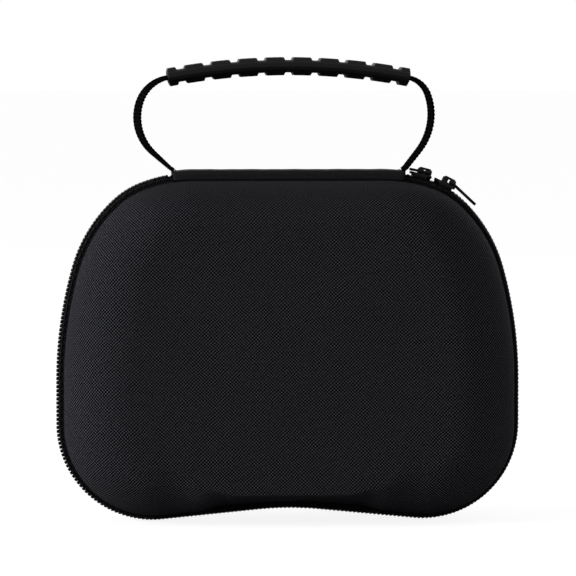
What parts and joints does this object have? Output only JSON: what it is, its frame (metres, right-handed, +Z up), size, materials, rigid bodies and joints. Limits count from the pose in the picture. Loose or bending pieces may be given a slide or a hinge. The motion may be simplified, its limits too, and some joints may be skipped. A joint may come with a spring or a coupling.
{
  "type": "controller carrying case",
  "caption": "Hard-shell zip case for a game controller: two moulded cloth-covered halves, a cloth hinge strip, a webbing handle with a ribbed grip and zip sliders.",
  "frame": {"origin": "middle of the case, at the height of the lowest points of the two lobes, on the plane where the halves meet", "axes": "+X to the right, +Y from the front shell to the back shell, +Z up towards the handle"},
  "size_m": [0.18, 0.072, 0.1795],
  "materials": {
    "shell_cloth": "black woven polyester over moulded foam",
    "strip_cloth": "smooth black cloth, folded and stitched",
    "zip_tape": "tight black woven tape",
    "binding": "ribbed black binding tape",
    "zip_teeth": "black nylon with a soft gloss",
    "webbing": "flat woven black webbing",
    "grip_rubber": "satin moulded rubber",
    "slider_metal": "black enamelled die-cast zinc",
    "net": "black knitted net",
    "elastic": "ribbed black elastic"
  },
  "bodies": {
    "base": {"back_shell": "shell_cloth", "back_rim_binding": "binding", "back_zip_tape": "zip_tape", "zip_tape_end": "zip_tape", "back_zip_teeth": "zip_teeth", "zip_teeth_end": "zip_teeth", "hinge_strip": "strip_cloth", "webbing_foot_left": "webbing", "webbing_foot_right": "webbing", "slider_a_body": "slider_metal", "slider_a_pull": "slider_metal", "retaining_strap": "elastic"},
    "lid": {"front_shell": "shell_cloth", "front_rim_binding": "binding", "front_zip_tape": "zip_tape", "front_zip_teeth": "zip_teeth", "net_pocket": "net", "pocket_binding": "elastic"},
    "handle": {"handle_webbing": "webbing", "handle_grip": "grip_rubber"},
    "slider_b": {"slider_b_body": "slider_metal"},
    "pull_b": {"slider_b_pull": "slider_metal"}
  },
  "joints": [
    {"name": "lid_hinge", "type": "hinge", "parent": "base", "child": "lid", "pos_m": [0, -0.0087, 0.132], "axis": [-1, 0, 0], "range_deg": [0, 95]},
    {"name": "handle_swing", "type": "hinge", "parent": "base", "child": "handle", "pos_m": [0, 0, 0.14535], "axis": [-1, 0, 0], "range_deg": [0, 85]},
    {"name": "slider_b_run", "type": "hinge", "parent": "base", "child": "slider_b", "pos_m": [0.04542, 0, 0.10034], "axis": [0, 1, 0], "range_deg": [0, 10]},
    {"name": "pull_b_flip", "type": "hinge", "parent": "slider_b", "child": "pull_b", "pos_m": [0.06377, 0, 0.13071], "axis": [0, -1, 0], "range_deg": [0, 120]}
  ]
}
